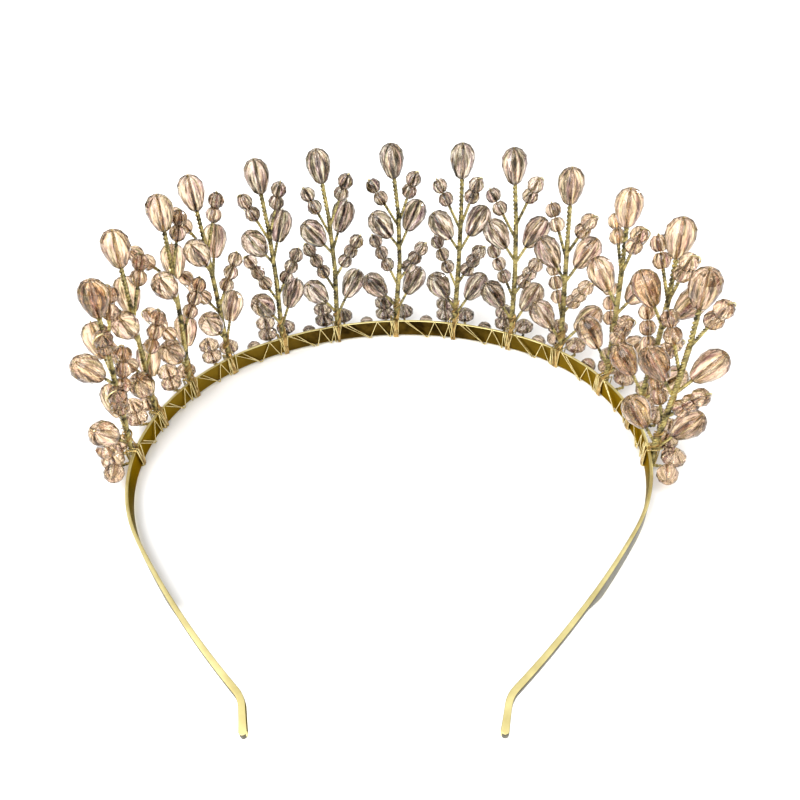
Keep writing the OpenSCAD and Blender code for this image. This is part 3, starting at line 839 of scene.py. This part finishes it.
# The run to the next stem and the strand beside it: share of the way, and height
ACROSS = [(0.06, LASH_HIGH), (0.6, LASH_LOW), (0.76, LASH_HIGH), (0.96, LASH_LOW), (1, LASH_HIGH)]
BESIDE = [(0.16, LASH_HIGH), (0.56, LASH_LOW + 0.3)]
BESIDE_DEEP = 0.3
UNEVEN_TOP, UNEVEN_LOW, UNEVEN_STOP = 0.15, 0.7, 0.05
LASH_START, LASH_END, LASH_PAST = 0.3, 0.5, 0.1
BUNDLE, BUNDLE_SPREAD, BUNDLE_RISE, BUNDLE_DEEP = 7, 0.6, 0.5, 0.1
BUNDLE_START, BUNDLE_CLIMB, BUNDLE_REACH = (-0.9, 0.9), (0.3, 0.75), (0.85, 1.2)
BUNDLE_FROM, BUNDLE_STEPS = 3, (9, 16)


def rounded(points):
    """The same row of points with each corner doubled, so that a soft wire turns round it"""
    out = [points[0]]
    for a, b, c in zip(points, points[1:], points[2:]):
        out += [b + (a - b).normalized() * ROUNDING, b, b + (c - b).normalized() * ROUNDING]
    return out + [points[-1]]


def inner_face(s, z, deep=0):
    """Middle of a wire on the strip's inner face, or deeper inside"""
    p = band_at(s) - (LASH_IN + deep) * out_of(heading(s))
    return Vector((p.x, p.y, z))


runs, bundles = [], []
for i in range(len(SPRIGS)):
    foot, inner, outer = at_foot(i), -STEM_OFF - LASH_IN, STEM_R + GAP + LASH_R
    for high, low in LASH_TURNS:
        high += hand.uniform(-UNEVEN_TOP, UNEVEN_TOP)
        aslant = low + hand.uniform(-UNEVEN_LOW, UNEVEN_LOW)
        turn = [
            (high, outer - LASH_START, LASH_HIGH),
            (high, outer, LASH_HIGH),
            (low, outer, LASH_LOW),
            (aslant, inner, LASH_LOW),
            (high, inner, LASH_HIGH),
            (high + LASH_PAST, outer - LASH_END, LASH_HIGH + LASH_PAST),
        ]
        runs.append(rounded([foot @ Vector(p) for p in turn]))
    for strand in range(BUNDLE):
        start, climb = -pi / 2 + hand.uniform(*BUNDLE_START), hand.uniform(*BUNDLE_CLIMB)
        low = hand.uniform(-BUNDLE_SPREAD, BUNDLE_SPREAD)
        bundle = [(low, inner - BUNDLE_DEEP, LASH_LOW), (low, inner, LASH_HIGH)]
        bundle = [foot @ Vector(p) for p in bundle]
        for n in range(BUNDLE_FROM, hand.randrange(*BUNDLE_STEPS)):
            turn, r = start + climb * n, hand.uniform(*BUNDLE_REACH)
            z = BAND_HIGH + BUNDLE_RISE * n + hand.uniform(-UNEVEN_TOP, UNEVEN_TOP)
            bundle.append(in_sprig(i) @ (stem_at(i, z) + Vector((r * cos(turn), r * sin(turn), 0))))
        bundles.append(bundle)
for a, b in zip(SPRIGS, SPRIGS[1:]):
    start, end = a[ALONG] + LASH_TURNS[-1][0], b[ALONG] + LASH_TURNS[0][0]
    for deep, stops in ((0, ACROSS), (BESIDE_DEEP, BESIDE)):
        line = []
        for share, z in stops:
            share += hand.uniform(-UNEVEN_STOP, UNEVEN_STOP)
            line.append(inner_face(start + share * (end - start), z, deep))
        runs.append(rounded(line))
lash = wires("lashing", runs, LASH_FINE, lash_gilt, soft=True)
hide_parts("lashing_wire")
wires("bundles", bundles, LASH_FINE, bundle_gilt, soft=True)
